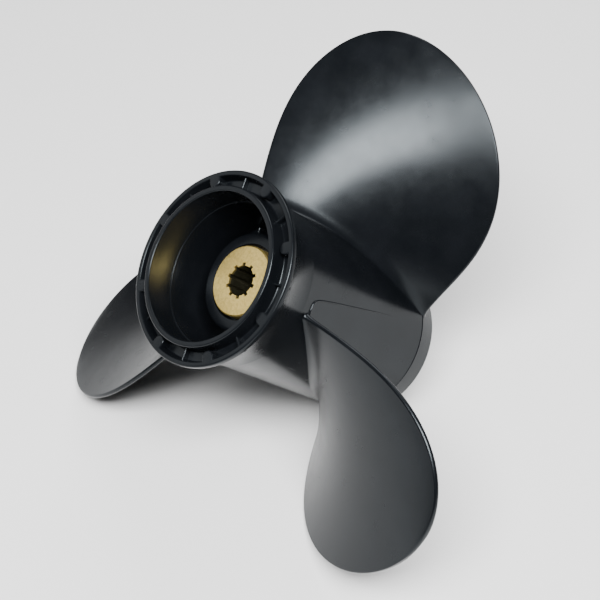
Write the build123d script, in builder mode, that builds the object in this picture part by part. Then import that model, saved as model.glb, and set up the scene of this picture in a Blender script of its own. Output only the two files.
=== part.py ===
from build123d import *

import math
import os

# Three-blade, right-hand outboard motor propeller, 9 1/4 x 11 inch, through-hub exhaust.
# It stands the way it rests on a bench: on two blades and the rear end of the hub, so the
# shaft line leans back from the vertical. The origin is on the shaft line, at the mouth of
# the splined sleeve, where the thrust washer seats. Stations are distances aft of the front
# face of the outer ring, measured along the shaft. Millimetres and degrees throughout.

# ---- driving dimensions ----

lean = 47.8  # how far the engine end of the shaft line is raised
blade_count = 3
blade_turn = -7.8  # first blade's root centre, turned about the shaft line from straight up

# hub barrel, outside
ring_radius = 38.4
ring_width = 2.0  # across the outer ring's face
rim_depth = 2.4
rim_step = 0.7
rim_round = 0.6  # on the front edges of both rings
flare_end = 20.2  # station where the flare ends in a fine step
flare_swell = 2.0  # how full the flare's curve is behind the rim
step_height = 0.3
barrel_radius = 32.8
tail_start = 95.6  # station of the fine line round the tail
barrel_end = 104.7
tail_front_radius = 32.2
tail_radius = 31.9

# hub barrel, inside
spigot_radius = 29.2  # plain mouth that fits round the gearcase's bearing carrier
spigot_end = 9.8
cavity_radius = 28.8
inner_ring_outer = 31.5
inner_ring_proud = 2.6
groove_outer = 36.4
groove_floor = 4.0
groove_draft = 0.9

# pads and fins in the front groove
pad_count = 8
pad_radius = 2.5
pad_middle = 34.8  # from the shaft line to the centre of each pad
fin_width = 1.0
fin_front = 1.6
pad_turn = -7.0
pad_rooting = 0.3  # how far pads and fins run into the groove's floor

# inner hub
boss_front = 19.2
boss_end = 86.0
boss_radius = 20.1
boss_tail_radius = 19.4
boss_mouth = 15.1
boss_round = 1.6
boss_lip_end = 24.5
bush_radius = 17.2

# ribs that carry the inner hub
rib_count = 3
rib_thickness = 5.0
rib_front = 34.0
rib_end = 84.0
rib_turn = 52.2

# rubber bush
bush_front = 25.2
bush_end = 82.0

# brass sleeve
sleeve_front = 17.6
sleeve_end = 89.0
collar_radius = 14.2
collar_end = 24.2
collar_chamfer = 0.5
sleeve_radius = 11.5
sleeve_clearance = 0.05  # between the sleeve and the rubber round it
spline_count = 10
spline_root = 7.2
spline_land = 6.05
spline_width = 1.5
spline_turn = -3.5
relief_radius = 8.0
relief_depth = 8.0

# blades
tip_radius = 117.5
root_radius = 33.0
root_pitch = 324.0
tip_pitch = 266.0
root_station = 59.9
half_chord = (44.0, 1.0, 78.5, -53.6)  # powers of the span fraction
skew = (0.0, -16.6, 24.2, -37.7)
rake = (0.0, -3.3, 3.0)
root_thickness = 6.4
tip_thickness = 2.6
edge_radius = 1.0
fillet_height = 6.0  # how far out the root fillet reaches
fillet_spread = 3.2  # how much it adds to each side at the barrel
fillet_power = 2.0
fillet_edge = 0.5  # share of it that rounds the blade's edges
cap_height = 19.0  # flat inner end of the blade blank, hidden inside the barrel
edge_steps = 3
chord_steps = 10

# ---- the shaft line ----

aft = Vector(0, math.cos(math.radians(lean)), -math.sin(math.radians(lean)))
shaft = Plane(origin=(0, 0, 0), x_dir=(0, -aft.Z, aft.Y), z_dir=aft)
front = shaft.offset(-sleeve_front)  # the outer ring's front face, station 0
shaft_line = Axis(shaft.origin, shaft.z_dir)
# profiles of turned shapes: x is the station, y the radius
profile = Plane(origin=front.origin, x_dir=front.z_dir, z_dir=front.y_dir)


def turned(angle):
    """The front plane, turned about the shaft line."""
    return Plane(front.origin, x_dir=shaft.x_dir.rotate(shaft_line, angle), z_dir=aft)


def polynomial(powers, value):
    """The polynomial whose coefficients are listed from the constant up."""
    return sum(number * value**power for power, number in enumerate(powers))


# ---- hub barrel ----

barrel_outline = [
    (0, ring_radius),
    (rim_depth, ring_radius),
    (rim_depth, ring_radius - rim_step),
]
flare_foot = (flare_end, barrel_radius + step_height)
# the two points that pull the flare's curve: close behind the rim, and further aft
flare_pulls = [(0.35 * flare_end, barrel_radius + flare_swell), (0.7 * flare_end, flare_foot[1])]
tail_step = (tail_start, tail_front_radius)


def barrel_half(inner_points):
    """The barrel's half section: its outer skin, closed through the given inner points."""
    with BuildSketch(profile) as half:
        with BuildLine():
            Polyline(*barrel_outline)
            Bezier(barrel_outline[-1], *flare_pulls, flare_foot)
            Polyline(
                flare_foot,
                (flare_end, barrel_radius),
                (tail_start, barrel_radius),
                tail_step,
                (barrel_end, tail_radius),
                *inner_points,
                barrel_outline[0],
            )
        make_face()
        rims = half.vertices().filter_by(lambda corner: corner.X < 0.01 and corner.Y > 1)
        fillet(rims, rim_round)
    return half.sketch


barrel_bore = [
    (barrel_end, cavity_radius),
    (spigot_end, cavity_radius),
    (spigot_end, spigot_radius),
    (-inner_ring_proud, spigot_radius),
    (-inner_ring_proud, inner_ring_outer),
    (groove_floor, inner_ring_outer),
    (groove_floor, groove_outer - groove_draft),
    (0, ring_radius - ring_width),
]

with BuildPart() as barrel:
    revolve(barrel_half(barrel_bore), axis=shaft_line)
    groove_middle = (inner_ring_outer + groove_outer) / 2
    pad_depth = groove_floor + pad_rooting
    with BuildSketch(turned(pad_turn)):
        with PolarLocations(pad_middle, pad_count):
            Circle(pad_radius)
        Circle(groove_outer - groove_draft / 2, mode=Mode.INTERSECT)
    extrude(amount=pad_depth)
    # the pads' fronts run out into the outer ring
    pad_reach = ring_radius - ring_width / 2 - pad_middle
    with BuildSketch(turned(pad_turn)):
        with PolarLocations(pad_middle, pad_count):
            Rectangle(pad_reach, 2 * pad_radius, align=(Align.MIN, Align.CENTER))
    extrude(amount=rim_depth)
    with BuildSketch(turned(pad_turn + 180 / pad_count).offset(fin_front)):
        with PolarLocations(groove_middle, pad_count):
            Rectangle(groove_outer - inner_ring_outer, fin_width)
    extrude(amount=pad_depth - fin_front)

barrel.part.label = "hub_barrel"


# the space inside the barrel's outer skin, which the blades stop at
with BuildPart() as barrel_core:
    revolve(barrel_half([(barrel_end, 0), (0, 0)]), axis=shaft_line)


# ---- inner hub, ribs, rubber bush and sleeve ----

with BuildPart() as boss:
    with BuildSketch(profile) as boss_half:
        with BuildLine():
            Polyline(
                (boss_front, boss_mouth),
                (boss_front, boss_radius),
                (boss_end, boss_tail_radius),
                (boss_end, bush_radius),
                (boss_lip_end, bush_radius),
                (boss_lip_end, boss_mouth),
                close=True,
            )
        make_face()
        fillet(boss_half.vertices().group_by(Axis.Y)[-1], boss_round)
    revolve(axis=shaft_line)

boss.part.label = "inner_hub"


def rib(turn):
    """One flat rib between the inner hub and the barrel."""
    with BuildPart() as web:
        with BuildSketch(turned(turn).offset(rib_front)):
            with Locations(((boss_tail_radius + cavity_radius) / 2, 0)):
                Rectangle(cavity_radius, rib_thickness)
        extrude(amount=rib_end - rib_front)
        with BuildSketch(profile):
            with BuildLine():
                Polyline(
                    (boss_front, 0),
                    (boss_front, boss_radius),
                    (boss_end, boss_tail_radius),
                    (boss_end, 0),
                    close=True,
                )
            make_face()
        revolve(axis=shaft_line, mode=Mode.SUBTRACT)
        with BuildSketch(front):
            Circle(cavity_radius)
        extrude(amount=barrel_end, mode=Mode.INTERSECT)
    return web.part


with BuildPart() as bush:
    with BuildSketch(front.offset(bush_front)):
        Circle(bush_radius)
        Circle(sleeve_radius + sleeve_clearance, mode=Mode.SUBTRACT)
    extrude(amount=bush_end - bush_front)

bush.part.label = "rubber_bush"


with BuildPart() as sleeve:
    with BuildSketch(shaft):
        Circle(collar_radius)
    extrude(amount=collar_end - sleeve_front)
    with BuildSketch(shaft):
        Circle(sleeve_radius)
    extrude(amount=sleeve_end - sleeve_front)
    chamfer(sleeve.edges().filter_by(GeomType.CIRCLE).group_by(SortBy.RADIUS)[-1], collar_chamfer)
    with BuildSketch(turned(spline_turn).offset(sleeve_front)):
        Circle(spline_land)
        with PolarLocations(spline_root / 2, spline_count):
            Rectangle(spline_root, spline_width)
    extrude(amount=sleeve_end - sleeve_front, mode=Mode.SUBTRACT)
    with BuildSketch(shaft.offset(sleeve_end - sleeve_front)):
        Circle(relief_radius)
    extrude(amount=-relief_depth, mode=Mode.SUBTRACT)

sleeve.part.label = "splined_sleeve"


# ---- blades ----


def blade_point(radius, middle, along, off, flat_at=None):
    """A point of a blade: along the helix from its middle and off it, on a cylinder.

    With flat_at, the point slides on its radius to the flat plane at that height."""
    span = (radius - root_radius) / (tip_radius - root_radius)
    pitch = root_pitch + (tip_pitch - root_pitch) * span
    helix = math.atan2(pitch, 2 * math.pi * radius)
    station = root_station + polynomial(rake, span)
    station += (middle + along) * math.sin(helix) - off * math.cos(helix)
    middle_angle = middle * math.cos(helix) / radius
    angle = (along * math.cos(helix) + off * math.sin(helix)) / radius
    if flat_at is not None:
        radius = flat_at / math.cos(angle)
    angle += middle_angle
    return (radius * math.cos(angle), radius * math.sin(angle), station)


def blade_section(radius, flat_at=None):
    """Points round one blade section: a lens with rounded edges, flared where it meets the hub."""
    span = (radius - root_radius) / (tip_radius - root_radius)
    inside = max(span, 0.0)
    height = max(radius - barrel_radius, 0)
    flare = fillet_spread * max(1 - height / fillet_height, 0) ** fillet_power
    half = polynomial(half_chord, inside) * math.sqrt(max(1 - inside**2, 0)) + flare
    middle = polynomial(skew, inside)
    thick = (root_thickness + (tip_thickness - root_thickness) * inside) / 2 + flare
    edge = min(edge_radius + flare * fillet_edge, half)
    depth = min((tip_radius - radius) / edge_radius, 1.0)
    rounding = math.sqrt(1 - (1 - depth) ** 2)
    sides = []
    for side in (1, -1):
        points = []
        for step in range(edge_steps):
            arc = math.pi / 2 * step / edge_steps
            points.append((half - edge + edge * math.cos(arc), edge * math.sin(arc)))
        for step in range(chord_steps + 1):
            place = math.cos(math.pi * step / chord_steps)
            points.append(((half - edge) * place, edge + (thick - edge) * (1 - place**2)))
        for step in range(1, edge_steps + 1):
            arc = math.pi / 2 * step / edge_steps
            points.append((edge - half - edge * math.sin(arc), edge * math.cos(arc)))
        sides.append(
            [
                blade_point(radius, middle, side * along, side * off * rounding, flat_at)
                for along, off in points
            ]
        )
    return sides


def blade(turn):
    """One blade with its root fillet, ending on the barrel's skin."""
    place = turned(turn)
    near_hub = [31.6, 32.8, 34.0, 35.4, 37.0, 38.8, 42.0, 46.8]
    spans = [math.sin(math.radians(angle)) for angle in range(15, 76, 6)]
    outer = [root_radius + (tip_radius - root_radius) * span for span in spans]
    near_tip = [tip_radius - gap * edge_radius for gap in (2.0, 1.0, 0.5, 0.15)]
    wires = []
    flats = {near_hub[0] - 1: cap_height, near_tip[-1]: near_tip[-1]}
    for radius in [near_hub[0] - 1] + near_hub + outer + near_tip:
        sides = [
            Edge.make_spline([place.from_local_coords(Vector(*point)) for point in side])
            for side in blade_section(radius, flats.get(radius))
        ]
        wires.append(Wire(sides))
    with BuildPart() as vane:
        add(Solid.make_loft(wires))
        add(barrel_core.part, mode=Mode.SUBTRACT)
    return vane.part


# ---- write the pieces ----

pieces = [barrel.part, boss.part, bush.part, sleeve.part]
for number in range(rib_count):
    piece = rib(rib_turn + 360 * number / rib_count)
    piece.label = f"rib_{number + 1}"
    pieces.append(piece)
for number in range(blade_count):
    piece = blade(blade_turn + 360 * number / blade_count)
    piece.label = f"blade_{number + 1}"
    pieces.append(piece)

os.makedirs("parts", exist_ok=True)
for piece in pieces:
    export_step(piece, f"parts/{piece.label}.step")
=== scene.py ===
import math

import bpy
import numpy as np
from mathutils import Matrix, Vector


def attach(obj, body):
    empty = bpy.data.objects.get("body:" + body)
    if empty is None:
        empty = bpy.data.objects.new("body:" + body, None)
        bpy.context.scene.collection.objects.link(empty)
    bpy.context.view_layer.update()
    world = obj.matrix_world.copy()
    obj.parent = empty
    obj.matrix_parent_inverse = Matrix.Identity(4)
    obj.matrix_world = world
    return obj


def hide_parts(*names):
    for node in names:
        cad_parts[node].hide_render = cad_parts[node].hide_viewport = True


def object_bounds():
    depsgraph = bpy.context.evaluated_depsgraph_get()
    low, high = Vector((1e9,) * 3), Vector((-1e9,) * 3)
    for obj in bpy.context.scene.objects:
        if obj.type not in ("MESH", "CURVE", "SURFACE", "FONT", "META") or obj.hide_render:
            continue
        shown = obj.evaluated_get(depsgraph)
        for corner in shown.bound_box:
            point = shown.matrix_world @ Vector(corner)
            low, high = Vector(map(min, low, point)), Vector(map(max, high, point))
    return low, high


# A three-blade outboard propeller in satin black paint, standing on two blades and the rear
# end of its hub. Metres and radians. The barrel, inner hub, ribs and blades are drawn here as
# smooth meshes that stand for the CAD nodes of the same casting; the brass sleeve and the
# rubber bush keep their CAD meshes.

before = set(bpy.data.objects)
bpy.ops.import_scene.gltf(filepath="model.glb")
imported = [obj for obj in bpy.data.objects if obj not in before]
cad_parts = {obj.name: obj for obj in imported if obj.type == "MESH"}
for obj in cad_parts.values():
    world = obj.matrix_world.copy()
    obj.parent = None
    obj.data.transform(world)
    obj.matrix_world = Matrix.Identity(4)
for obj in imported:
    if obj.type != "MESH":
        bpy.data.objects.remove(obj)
cad_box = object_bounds()
mm = 0.001

# ---- driving dimensions: stations run aft from the outer ring's front face ----

lean = math.radians(47.8)
first_blade = math.radians(-7.8)
blade_count = 3
origin_station = 17.6 * mm

ring_radius = 38.4 * mm
ring_width = 2.0 * mm
rim_depth = 2.4 * mm
rim_step = 0.7 * mm
flare_end = 20.2 * mm
flare_swell = 2.0 * mm  # how far the flare's curve is pulled out from the barrel
flare_pulls = (0.35, 0.7)  # where its two pulls lie, as shares of flare_end
step_height = 0.3 * mm
barrel_radius = 32.8 * mm
tail_start = 95.6 * mm
barrel_end = 104.7 * mm
tail_front_radius = 32.2 * mm
tail_bead = 0.5 * mm  # the fine line round the tail
tail_radius = 31.9 * mm
spigot_radius = 29.2 * mm
spigot_end = 9.8 * mm
cavity_radius = 28.8 * mm
inner_ring_outer = 31.5 * mm
inner_ring_proud = 2.6 * mm
groove_outer = 36.4 * mm
groove_floor = 4.0 * mm
groove_draft = 0.9 * mm

pad_count = 8
pad_radius = 2.5 * mm
pad_middle = 34.8 * mm
pad_turn = math.radians(-7.0)
pad_proud = 0.02 * mm
pad_round = 0.5 * mm
fin_width = 1.0 * mm
fin_front = 1.6 * mm
fin_inner_root = 0.5 * mm
fin_outer_root = 0.3 * mm
groove_root = 1 * mm  # how far pads and fins reach below the groove's floor

boss_front = 19.2 * mm
boss_end = 86.0 * mm
boss_radius = 20.1 * mm
boss_tail_radius = 19.4 * mm
boss_mouth = 15.1 * mm
boss_round = 1.6 * mm
boss_lip_end = 24.5 * mm
bush_radius = 17.2 * mm

spline_root = 7.2 * mm

rib_count = 3
rib_thickness = 5.0 * mm
rib_front = 34.0 * mm
rib_end = 84.0 * mm
rib_turn = math.radians(52.2)
rib_round = 1.2 * mm
rib_root = 0.6 * mm
rib_flare = 1.6 * mm

tip_radius = 117.5 * mm
root_radius = 33.0 * mm
root_pitch = 324.0 * mm
tip_pitch = 266.0 * mm
root_station = 59.9 * mm
half_chord = (44.0, 1.0, 78.5, -53.6)  # powers of the span fraction, in millimetres
skew = (0.0, -16.6, 24.2, -37.7)
rake = (0.0, -3.3, 3.0)
root_thickness = 6.4 * mm
tip_thickness = 2.6 * mm
edge_radius = 1.0 * mm
fillet_height = 5.5 * mm
fillet_spread = 2.6 * mm
fillet_ends = 0.4  # share of the fillet that reaches round the blade's edges
fillet_rows = 14
blade_root_depth = 2 * mm
blade_skin_depth = 0.1 * mm
tip_share = 0.99999  # the last row stops just short of the tip circle

# station, and angle in degrees from the blade behind it: round the nose, then aft
ridge_knots = [
    (26.4 * mm, -38),
    (24.6 * mm, -42),
    (24.0 * mm, -47),
    (25.4 * mm, -52.6),
    (34 * mm, -56),
    (50 * mm, -60),
    (63 * mm, -63.3),
    (76.4 * mm, -66.5),
]
ridge_width = 1.1 * mm
ridge_height = 0.6 * mm
ridge_taper = 0.55  # share of its size lost towards the rear
ridge_least = 0.02
ridge_start = 10  # the ridge rises to full size over one tenth of its length
ridge_finish = 6  # and fades out over the last sixth
ridge_skin = 0.02 * mm
ridge_root = 0.4 * mm

edge_round = 0.35 * mm  # on the casting's small edges
round_segments = 288

# ---- the shaft line ----

aft = Vector((0, math.cos(lean), -math.sin(lean)))
upright = Vector((0, math.sin(lean), math.cos(lean)))
side = Vector((1, 0, 0))


def place(radius, angle, station):
    """The point at a radius, an angle about the shaft line and a station."""
    across = upright * math.cos(angle) + side * math.sin(angle)
    return across * radius + aft * (station - origin_station)


# ---- mesh helpers ----


def make_piece(name, points, faces, sharp_angle=50):
    """A smooth-shaded mesh object from points and faces, its normals turned outwards."""
    mesh = bpy.data.meshes.new(name)
    mesh.from_pydata([tuple(point) for point in points], [], faces)
    mesh.validate()
    obj = bpy.data.objects.new(name, mesh)
    bpy.context.scene.collection.objects.link(obj)
    bpy.ops.object.select_all(action="DESELECT")
    obj.select_set(True)
    bpy.context.view_layer.objects.active = obj
    bpy.ops.object.mode_set(mode="EDIT")
    bpy.ops.mesh.select_all(action="SELECT")
    bpy.ops.mesh.remove_doubles(threshold=1e-6)
    bpy.ops.mesh.normals_make_consistent(inside=False)
    bpy.ops.object.mode_set(mode="OBJECT")
    bpy.ops.object.shade_smooth_by_angle(angle=math.radians(sharp_angle))
    return obj


def grid_faces(rows, columns, start=0, loop=False):
    """Quads over a grid of points listed row by row; loop joins the last column to the first."""
    faces = []
    for row in range(rows - 1):
        for column in range(columns if loop else columns - 1):
            a = start + row * columns + column
            b = start + row * columns + (column + 1) % columns
            faces.append((a, b, b + columns, a + columns))
    return faces


def rounded(corners, radius, steps=4):
    """A closed outline with its corners rounded; a corner may carry its own radius."""
    outline = []
    count = len(corners)
    for index, corner in enumerate(corners):
        here = Vector(corner[:2])
        size = corner[2] if len(corner) > 2 else radius
        before = Vector(corners[index - 1][:2]) - here
        after = Vector(corners[(index + 1) % count][:2]) - here
        if size == 0:
            outline.append(here)
            continue
        half = before.angle(after) / 2
        reach = min(size / math.tan(half), before.length * 0.49, after.length * 0.49)
        size = reach * math.tan(half)
        inwards = (before.normalized() + after.normalized()).normalized()
        middle = here + inwards * (size / math.sin(half))
        first = here + before.normalized() * reach - middle
        last = here + after.normalized() * reach - middle
        for step in range(steps + 1):
            arm = first.lerp(last, step / steps).normalized() * size
            outline.append(middle + arm)
    return outline


def curve_points(start, pull_1, pull_2, end, count):
    """Points inside a cubic curve, its ends left out."""
    points = []
    for step in range(1, count):
        t = step / count
        weights = ((1 - t) ** 3, 3 * t * (1 - t) ** 2, 3 * t**2 * (1 - t), t**3)
        ends = (start, pull_1, pull_2, end)
        point = [sum(w * p[axis] for w, p in zip(weights, ends)) for axis in (0, 1)]
        points.append((point[0], point[1], 0))
    return points


def turned_shell(outline, segments=round_segments):
    """Points and faces of a closed outline of (station, radius) swept round the shaft line."""
    points = []
    for step in range(segments):
        angle = 2 * math.pi * step / segments
        points += [place(radius, angle, station) for station, radius in outline]
    columns = len(outline)
    faces = grid_faces(segments, columns, loop=True)
    last = (segments - 1) * columns
    for column in range(columns):
        after = (column + 1) % columns
        faces.append((last + column, last + after, after, column))
    return points, faces


def add_solid(points, faces, lower, upper):
    """Adds a closed solid between two rings of points, each face of it flat or single-curved."""
    start = len(points)
    count = len(lower)
    points += lower + upper
    faces += [
        (start + i, start + (i + 1) % count, start + count + (i + 1) % count, start + count + i)
        for i in range(count)
    ]
    faces.append(tuple(start + i for i in reversed(range(count))))
    faces.append(tuple(start + count + i for i in range(count)))


# ---- hub barrel ----


def barrel_outline():
    """The closed outline of the barrel's wall, from the outer ring's front round to its groove."""
    foot = (flare_end, barrel_radius + step_height)
    start = (rim_depth, ring_radius - rim_step)
    pull_1 = (flare_end * flare_pulls[0], barrel_radius + flare_swell)
    pull_2 = (flare_end * flare_pulls[1], foot[1])
    corners = [
        (0, ring_radius, 0.6 * mm),
        (rim_depth, ring_radius),
        (rim_depth, ring_radius - rim_step, 0.25 * mm),
        *curve_points(start, pull_1, pull_2, foot, 24),
        (*foot, 0.12 * mm),
        (flare_end, barrel_radius, 0.12 * mm),
        (tail_start - tail_bead, barrel_radius, 0.2 * mm),
        (tail_start, barrel_radius + tail_bead / 2, 0.2 * mm),
        (tail_start + tail_bead, tail_front_radius, 0.2 * mm),
        (barrel_end, tail_radius, 0.5 * mm),
        (barrel_end, cavity_radius, 0.5 * mm),
        (spigot_end, cavity_radius, 0.1 * mm),
        (spigot_end, spigot_radius, 0.1 * mm),
        (-inner_ring_proud, spigot_radius, 0.5 * mm),
        (-inner_ring_proud, inner_ring_outer, 0.6 * mm),
        (groove_floor, inner_ring_outer, 0.6 * mm),
        (groove_floor, groove_outer - groove_draft, 0.6 * mm),
        (0, ring_radius - ring_width, 0.4 * mm),
    ]
    return rounded(corners, edge_round)


def add_pad(points, faces, turn):
    """A pad in the groove, round towards the shaft, its front merging into the outer ring."""
    deep = groove_outer - groove_draft / 2 - pad_middle
    shallow = ring_radius - ring_width / 2 - pad_middle
    levels = [(groove_floor + groove_root, 0, deep), (rim_depth, 0, deep)]
    for step in range(5):
        arc = math.pi / 2 * step / 4
        station = pad_round * (1 - math.sin(arc)) - pad_proud
        levels.append((station, pad_round * (1 - math.cos(arc)), shallow))
    rings = []
    for station, inset, reach in levels:
        half = pad_radius - inset
        sides = [(reach, -half)]
        for step in range(33):
            arc = math.pi * step / 32
            sides.append((-half * math.sin(arc), -half * math.cos(arc)))
        sides.append((reach, half))
        ring = []
        for out, along in sides:
            radius = math.hypot(pad_middle + out, along)
            ring.append(place(radius, turn + math.atan2(along, pad_middle + out), station))
        rings.append(ring)
    start = len(points)
    count = len(rings[0])
    for ring in rings:
        points += ring
    faces += grid_faces(len(rings), count, start, loop=True)
    faces.append(tuple(start + i for i in range(count)))
    faces.append(tuple(start + (len(rings) - 1) * count + i for i in range(count)))


def add_fin(points, faces, turn):
    """A thin fin across the groove, its front edge rounded over."""
    rings = []
    inner = inner_ring_outer - fin_inner_root
    outer = groove_outer + fin_outer_root
    half = fin_width / 2
    outline = [(groove_floor + groove_root, -half)]
    for step in range(7):
        arc = math.pi * step / 6
        outline.append((fin_front + half * (1 - math.sin(arc)), -half * math.cos(arc)))
    outline.append((groove_floor + groove_root, half))
    for radius in (inner, outer):
        rings.append([place(radius, turn + along / radius, station) for station, along in outline])
    add_solid(points, faces, *rings)


def smooth_path(knots, steps):
    """Points along a smooth curve through the knots."""
    path = []
    last = len(knots) - 1
    for index in range(last):
        order = (max(index - 1, 0), index, index + 1, min(index + 2, last))
        a, b, c, d = (np.array(knots[number]) for number in order)
        square, cube = 2 * a - 5 * b + 4 * c - d, 3 * b - a - 3 * c + d
        for step in range(steps + (index == last - 1)):
            t = step / steps
            path.append(0.5 * (2 * b + (c - a) * t + square * t**2 + cube * t**3))
    return path


def add_ridge(points, faces, blade_turn):
    """The casting's fine parting line: round a blade's nose, then along the barrel, fading out."""
    arms = 8
    knots = [(station, barrel_radius * math.radians(angle)) for station, angle in ridge_knots]
    path = smooth_path(knots, 16)
    rows = []
    for index, here in enumerate(path):
        t = index / (len(path) - 1)
        heading = path[min(index + 1, len(path) - 1)] - path[max(index - 1, 0)]
        across = np.array((-heading[1], heading[0])) / np.linalg.norm(heading)
        size = min(1, t * ridge_start) * (1 - ridge_taper * t) * min(1, (1 - t) * ridge_finish)
        size = max(size, ridge_least)
        row = []
        for arm in range(arms + 1):
            arc = math.pi * arm / arms
            station, along = here - across * ridge_width / 2 * math.cos(arc) * size
            height = ridge_height * math.sin(arc) * size
            radius = barrel_radius - ridge_skin + height
            row.append(place(radius, blade_turn + along / barrel_radius, station))
        station, along = here
        row.append(place(barrel_radius - ridge_root, blade_turn + along / barrel_radius, station))
        rows.append(row)
    start = len(points)
    for row in rows:
        points += row
    columns = arms + 2
    faces += grid_faces(len(rows), columns, start, loop=True)
    faces.append(tuple(start + i for i in range(columns)))
    faces.append(tuple(start + (len(rows) - 1) * columns + i for i in range(columns)))


def hub_barrel():
    """The barrel with its front ring, the groove's pads and fins, and the parting lines."""
    points, faces = turned_shell(barrel_outline())
    for number in range(pad_count):
        turn = pad_turn + 2 * math.pi * number / pad_count
        add_pad(points, faces, turn)
        add_fin(points, faces, turn + math.pi / pad_count)
    for number in range(blade_count):
        add_ridge(points, faces, first_blade + 2 * math.pi * number / blade_count)
    return make_piece("barrel_casting", points, faces, 35)


# ---- inner hub and ribs ----


def inner_hub():
    """The tube round the rubber bush, with a lip over the bush's front."""
    corners = [
        (boss_front, boss_mouth, 0.4 * mm),
        (boss_front, boss_radius, boss_round),
        (boss_end, boss_tail_radius, boss_round),
        (boss_end, bush_radius, 0.4 * mm),
        (boss_lip_end, bush_radius),
        (boss_lip_end, boss_mouth, 0.3 * mm),
    ]
    points, faces = turned_shell(rounded(corners, edge_round))
    return make_piece("inner_hub_casting", points, faces, 35)


def rib(number):
    """A flat rib with rounded front and rear edges, rooted in the inner hub and the barrel."""
    turn = rib_turn + 2 * math.pi * number / rib_count
    half = rib_thickness / 2
    corners = [
        (rib_front, -half, rib_round),
        (rib_front, half, rib_round),
        (rib_end, half, rib_round),
        (rib_end, -half, rib_round),
    ]
    outline = rounded(corners, rib_round, 8)
    rows = 13
    low, high = boss_tail_radius - rib_root, cavity_radius + rib_root
    points, faces = [], []
    for row in range(rows):
        radius = low + (high - low) * row / (rows - 1)
        wall = min(radius - boss_tail_radius, cavity_radius - radius)
        spread = rib_flare * max(0, 1 - max(wall, 0) / rib_flare) ** 2
        for station, along in outline:
            along += math.copysign(spread, along)
            angle = turn + math.atan2(along, radius)
            points.append(place(math.hypot(radius, along), angle, station))
    faces = grid_faces(rows, len(outline), loop=True)
    faces.append(tuple(range(len(outline))))
    faces.append(tuple((rows - 1) * len(outline) + i for i in range(len(outline))))
    return make_piece(f"rib_casting_{number + 1}", points, faces, 35)


# ---- blades ----


def polynomial(powers, value):
    """The polynomial whose coefficients are listed from the constant up."""
    return sum(number * value**power for power, number in enumerate(powers))


def blade_ring(radius, turn, chord_steps=52, edge_steps=8):
    """Points round one blade section: a lens with rounded edges, flared into the hub's fillet."""
    span = (radius - root_radius) / (tip_radius - root_radius)
    inside = min(max(span, 0.0), 1.0)
    height = min(max(radius - barrel_radius, 0) / fillet_height, 1)
    flare = fillet_spread * (1 - math.sqrt(1 - (1 - height) ** 2))
    half = polynomial(half_chord, inside) * mm * math.sqrt(max(1 - inside**2, 0))
    half += flare * fillet_ends
    middle = polynomial(skew, inside) * mm
    thick = (root_thickness + (tip_thickness - root_thickness) * inside) / 2 + flare
    edge = min(edge_radius + flare * fillet_ends, half)
    depth = min((tip_radius - radius) / edge_radius, 1.0)
    rounding = math.sqrt(max(1 - (1 - depth) ** 2, 0))
    helix = math.atan2(root_pitch + (tip_pitch - root_pitch) * span, 2 * math.pi * radius)
    station_0 = root_station + polynomial(rake, span) * mm
    outline = []
    for way in (1, -1):
        for step in range(edge_steps):
            arc = math.pi / 2 * step / edge_steps
            outline.append((way * (half - edge + edge * math.cos(arc)), way * edge * math.sin(arc)))
        for step in range(chord_steps + 1):
            spot = math.cos(math.pi * step / chord_steps)
            off = edge + (thick - edge) * (1 - spot**2)
            outline.append((way * (half - edge) * spot, way * off))
        for step in range(1, edge_steps):
            arc = math.pi / 2 * step / edge_steps
            outline.append((way * (edge - half - edge * math.sin(arc)), way * edge * math.cos(arc)))
    ring = []
    for along, off in outline:
        off *= rounding
        station = station_0 + (middle + along) * math.sin(helix) - off * math.cos(helix)
        angle = ((middle + along) * math.cos(helix) + off * math.sin(helix)) / radius
        ring.append(place(radius, turn + angle, station))
    return ring


def blade(number):
    """One blade: rows of sections out from inside the barrel's wall, closed at both ends."""
    turn = first_blade + 2 * math.pi * number / blade_count
    radii = [barrel_radius - blade_root_depth, barrel_radius - blade_skin_depth]
    for step in range(fillet_rows + 1):
        height = 1 - math.cos(math.pi / 2 * step / fillet_rows)
        radii.append(barrel_radius + fillet_height * height)
    first = radii[-1]
    start = math.asin((first - root_radius) / (tip_radius - root_radius))
    rows = 90
    for step in range(1, rows + 1):
        angle = start + (math.pi / 2 - start) * step / rows
        radii.append(root_radius + (tip_radius - root_radius) * min(math.sin(angle), tip_share))
    points = []
    for radius in radii:
        ring = blade_ring(radius, turn)
        points += ring
    columns = len(ring)
    faces = grid_faces(len(radii), columns, loop=True)
    for row in (0, len(radii) - 1):
        for step in range(columns // 2 - 1):
            near, far = row * columns + step, row * columns + columns - 1 - step
            if near + 1 < far - 1:
                faces.append((near, near + 1, far - 1, far))
    return make_piece(f"blade_casting_{number + 1}", points, faces, 60)


# ---- materials ----


class Nodes:
    """A short way to write a node material."""

    def __init__(self, name):
        self.material = bpy.data.materials.new(name)
        self.material.use_nodes = True
        self.tree = self.material.node_tree
        self.shader = self.tree.nodes["Principled BSDF"]

    def add(self, kind, **settings):
        node = self.tree.nodes.new(kind)
        for key, value in settings.items():
            if key in node.bl_rna.properties:
                setattr(node, key, value)
            else:
                node.inputs[key.replace("_", " ")].default_value = value
        return node

    def link(self, source, target):
        self.tree.links.new(source, target)


def noise(nodes, where, scale, detail=3, roughness=0.5):
    """A noise pattern fixed to the object."""
    node = nodes.add("ShaderNodeTexNoise", Scale=scale, Detail=detail, Roughness=roughness)
    nodes.link(where.outputs["Object"], node.inputs["Vector"])
    return node.outputs["Fac"]


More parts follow.
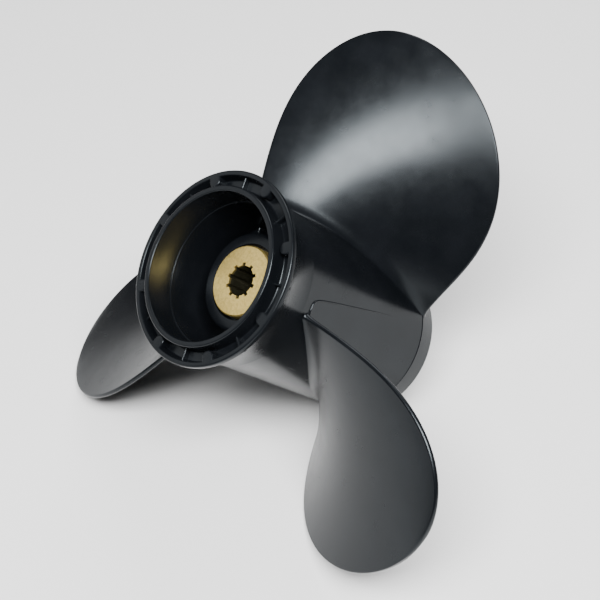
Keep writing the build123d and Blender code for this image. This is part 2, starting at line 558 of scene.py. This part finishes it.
def spread_over(nodes, value, low, high, start=0.3, end=0.7):
    """The value carried from the range start-end to the range low-high."""
    node = nodes.add("ShaderNodeMapRange")
    for key, number in (("From Min", start), ("From Max", end), ("To Min", low), ("To Max", high)):
        node.inputs[key].default_value = number
    nodes.link(value, node.inputs["Value"])
    return node.outputs["Result"]


def bump(nodes, height, distance, under=None):
    """A bump of the given height in metres, on top of another when one is given."""
    node = nodes.add("ShaderNodeBump", Strength=1.0, Distance=distance)
    nodes.link(height, node.inputs["Height"])
    if under:
        nodes.link(under, node.inputs["Normal"])
    return node.outputs["Normal"]


def black_paint():
    """Satin black over a casting: fine orange peel, faint waviness and uneven gloss."""
    nodes = Nodes("satin black paint")
    where = nodes.add("ShaderNodeTexCoord")
    shader = nodes.shader
    shader.inputs["Specular IOR Level"].default_value = 0.2
    shader.inputs["Specular Tint"].default_value = (0.86, 0.95, 1.0, 1)
    tint = nodes.add("ShaderNodeValToRGB")
    tint.color_ramp.elements[0].position = 0.35
    tint.color_ramp.elements[0].color = (0.0024, 0.0029, 0.0037, 1)
    tint.color_ramp.elements[1].position = 0.65
    tint.color_ramp.elements[1].color = (0.0038, 0.0044, 0.0055, 1)
    nodes.link(noise(nodes, where, 60, 4), tint.inputs["Fac"])
    nodes.link(tint.outputs["Color"], shader.inputs["Base Color"])
    gloss = spread_over(nodes, noise(nodes, where, 140, 5, 0.6), 0.22, 0.28)
    nodes.link(gloss, shader.inputs["Roughness"])
    wave = bump(nodes, noise(nodes, where, 45, 2), 0.06 * mm)
    peel = bump(nodes, noise(nodes, where, 1400, 2), 0.006 * mm, under=wave)
    nodes.link(peel, shader.inputs["Normal"])
    return nodes.material


def turned_brass():
    """Machined brass: turning marks round the shaft line, faint tarnish, and painted shade in the
    bore: a dark olive colour there.
    """
    nodes = Nodes("turned brass")
    where = nodes.add("ShaderNodeTexCoord")
    shader = nodes.shader
    shader.inputs["Metallic"].default_value = 1.0
    tint = nodes.add("ShaderNodeValToRGB")
    tint.color_ramp.elements[0].position = 0.3
    tint.color_ramp.elements[0].color = (0.66, 0.48, 0.13, 1)
    tint.color_ramp.elements[1].position = 0.6
    tint.color_ramp.elements[1].color = (0.88, 0.68, 0.24, 1)
    nodes.link(noise(nodes, where, 900, 6, 0.7), tint.inputs["Fac"])
    along_shaft = nodes.add("ShaderNodeMapping")
    along_shaft.inputs["Rotation"].default_value = (lean + math.pi / 2, 0, 0)
    nodes.link(where.outputs["Object"], along_shaft.inputs["Vector"])
    flat = nodes.add("ShaderNodeMapping")
    flat.inputs["Scale"].default_value = (1, 1, 0)
    nodes.link(along_shaft.outputs["Vector"], flat.inputs["Vector"])
    from_shaft = nodes.add("ShaderNodeVectorMath", operation="LENGTH")
    nodes.link(flat.outputs["Vector"], from_shaft.inputs[0])
    # Painted shade: the bore is coloured dark olive, except near its front end, where the brass
    # colour stays.
    edge = (spline_root + 0.15 * mm, spline_root + 0.45 * mm)
    bore = spread_over(nodes, from_shaft.outputs["Value"], 0, 1, *edge)
    parts = nodes.add("ShaderNodeSeparateXYZ")
    nodes.link(along_shaft.outputs["Vector"], parts.inputs["Vector"])
    face = spread_over(nodes, parts.outputs["Z"], 1, 0, 0.2 * mm, 1.4 * mm)
    bright = nodes.add("ShaderNodeMath", operation="MAXIMUM")
    nodes.link(bore, bright.inputs[0])
    nodes.link(face, bright.inputs[1])
    brass_and_painted_shade = nodes.add("ShaderNodeMixRGB")
    nodes.link(bright.outputs["Value"], brass_and_painted_shade.inputs["Fac"])
    # Color1 is the painted shade, a dark olive in the bore.
    brass_and_painted_shade.inputs["Color1"].default_value = (0.11, 0.105, 0.065, 1)
    nodes.link(tint.outputs["Color"], brass_and_painted_shade.inputs["Color2"])
    nodes.link(brass_and_painted_shade.outputs["Color"], shader.inputs["Base Color"])
    rings = nodes.add("ShaderNodeTexWave", wave_type="RINGS", rings_direction="Z")
    for key, number in (("Scale", 900), ("Distortion", 1.2), ("Detail", 2)):
        rings.inputs[key].default_value = number
    nodes.link(along_shaft.outputs["Vector"], rings.inputs["Vector"])
    gloss = spread_over(nodes, noise(nodes, where, 500, 4), 0.38, 0.52)
    nodes.link(gloss, shader.inputs["Roughness"])
    grain = bump(nodes, noise(nodes, where, 2600, 3), 0.004 * mm)
    nodes.link(bump(nodes, rings.outputs["Fac"], 0.006 * mm, under=grain), shader.inputs["Normal"])
    return nodes.material


def moulded_rubber():
    """Matte black rubber with a fine moulded grain and a bloom of grey."""
    nodes = Nodes("moulded rubber")
    where = nodes.add("ShaderNodeTexCoord")
    tint = nodes.add("ShaderNodeValToRGB")
    tint.color_ramp.elements[0].color = (0.012, 0.012, 0.012, 1)
    tint.color_ramp.elements[1].color = (0.028, 0.027, 0.026, 1)
    nodes.link(noise(nodes, where, 200, 4), tint.inputs["Fac"])
    nodes.link(tint.outputs["Color"], nodes.shader.inputs["Base Color"])
    gloss = spread_over(nodes, noise(nodes, where, 700, 3), 0.65, 0.85)
    nodes.link(gloss, nodes.shader.inputs["Roughness"])
    grain = bump(nodes, noise(nodes, where, 1800, 3), 0.02 * mm)
    nodes.link(grain, nodes.shader.inputs["Normal"])
    return nodes.material


def floor_white():
    """Plain white board with a barely uneven sheen."""
    nodes = Nodes("white board")
    where = nodes.add("ShaderNodeTexCoord")
    nodes.shader.inputs["Base Color"].default_value = (0.66, 0.66, 0.66, 1)
    nodes.shader.inputs["Specular IOR Level"].default_value = 0.2
    gloss = spread_over(nodes, noise(nodes, where, 30), 0.6, 0.7)
    nodes.link(gloss, nodes.shader.inputs["Roughness"])
    return nodes.material


def dress(obj, material):
    """Gives the object this one material."""
    obj.data.materials.clear()
    obj.data.materials.append(material)


# ---- the pieces ----

paint = black_paint()
brass = turned_brass()
rubber = moulded_rubber()

casting = [(hub_barrel(), "hub_barrel"), (inner_hub(), "inner_hub")]
casting += [(rib(number), f"rib_{number + 1}") for number in range(rib_count)]
casting += [(blade(number), f"blade_{number + 1}") for number in range(blade_count)]
for piece, node in casting:
    dress(piece, paint)
    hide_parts(node)
    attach(piece, "casting")

dress(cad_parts["splined_sleeve"], brass)
dress(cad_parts["rubber_bush"], rubber)

# ---- floor, light and camera ----


def lay_floor():
    """The white board under the propeller, reaching further on the side away from the camera."""
    near, far = 0.6, 2.4
    level = cad_box[0][2]
    mesh = bpy.data.meshes.new("floor")
    corners = [(-far, -near, level), (near, -near, level), (near, far, level), (-far, far, level)]
    mesh.from_pydata(corners, [], [(0, 1, 2, 3)])
    obj = bpy.data.objects.new("floor", mesh)
    bpy.context.scene.collection.objects.link(obj)
    dress(obj, floor_white())


def soft_light(name, position, target, size, power, along=(0, 1, 0)):
    """A rectangular softbox facing the target; its longer side lies along the given direction."""
    data = bpy.data.lights.new(name, "AREA")
    data.shape = "RECTANGLE"
    data.size, data.size_y = size
    data.energy = power
    obj = bpy.data.objects.new(name, data)
    bpy.context.scene.collection.objects.link(obj)
    back = (Vector(position) - Vector(target)).normalized()
    across = Vector(along).cross(back).normalized()
    turn = Matrix((across, back.cross(across), back)).transposed()
    obj.matrix_world = Matrix.Translation(position) @ turn.to_4x4()


def light_room():
    """A dim white surround, one bright softbox overhead and two weak fills."""
    world = bpy.data.worlds.new("studio")
    bpy.context.scene.world = world
    world.use_nodes = True
    surround = world.node_tree.nodes["Background"]
    surround.inputs["Color"].default_value = (1, 1, 1, 1)
    surround.inputs["Strength"].default_value = 0.05
    overhead, below = (0.486, -0.222, 1.03), (0, 0.07, 0.02)
    soft_light("overhead", overhead, below, (0.38, 1.0), 60, (0.37, 0.93, 0))
    soft_light("front fill", (-0.75, -0.80, 0.48), (0, 0, 0), (0.8, 0.8), 2.8)
    soft_light("back fill", (-0.60, 0.80, 0.90), (0, 0, 0), (0.9, 0.9), 14)


def set_camera():
    """The camera at the photograph's angle: above, on the +X side and ahead of the hub."""
    data = bpy.data.cameras.new("camera")
    data.sensor_width = 36
    data.lens = 81.74
    camera = bpy.data.objects.new("camera", data)
    bpy.context.scene.collection.objects.link(camera)
    forward = Vector((-0.6120, 0.3197, -0.7234)).normalized()
    up = Vector((-0.6312, 0.3536, 0.6903))
    right = forward.cross(up).normalized()
    up = right.cross(forward)
    turn = Matrix((right, up, -forward)).transposed()
    camera.matrix_world = Matrix.Translation((0.3337, -0.1490, 0.3707)) @ turn.to_4x4()
    bpy.context.scene.camera = camera


lay_floor()
light_room()
set_camera()
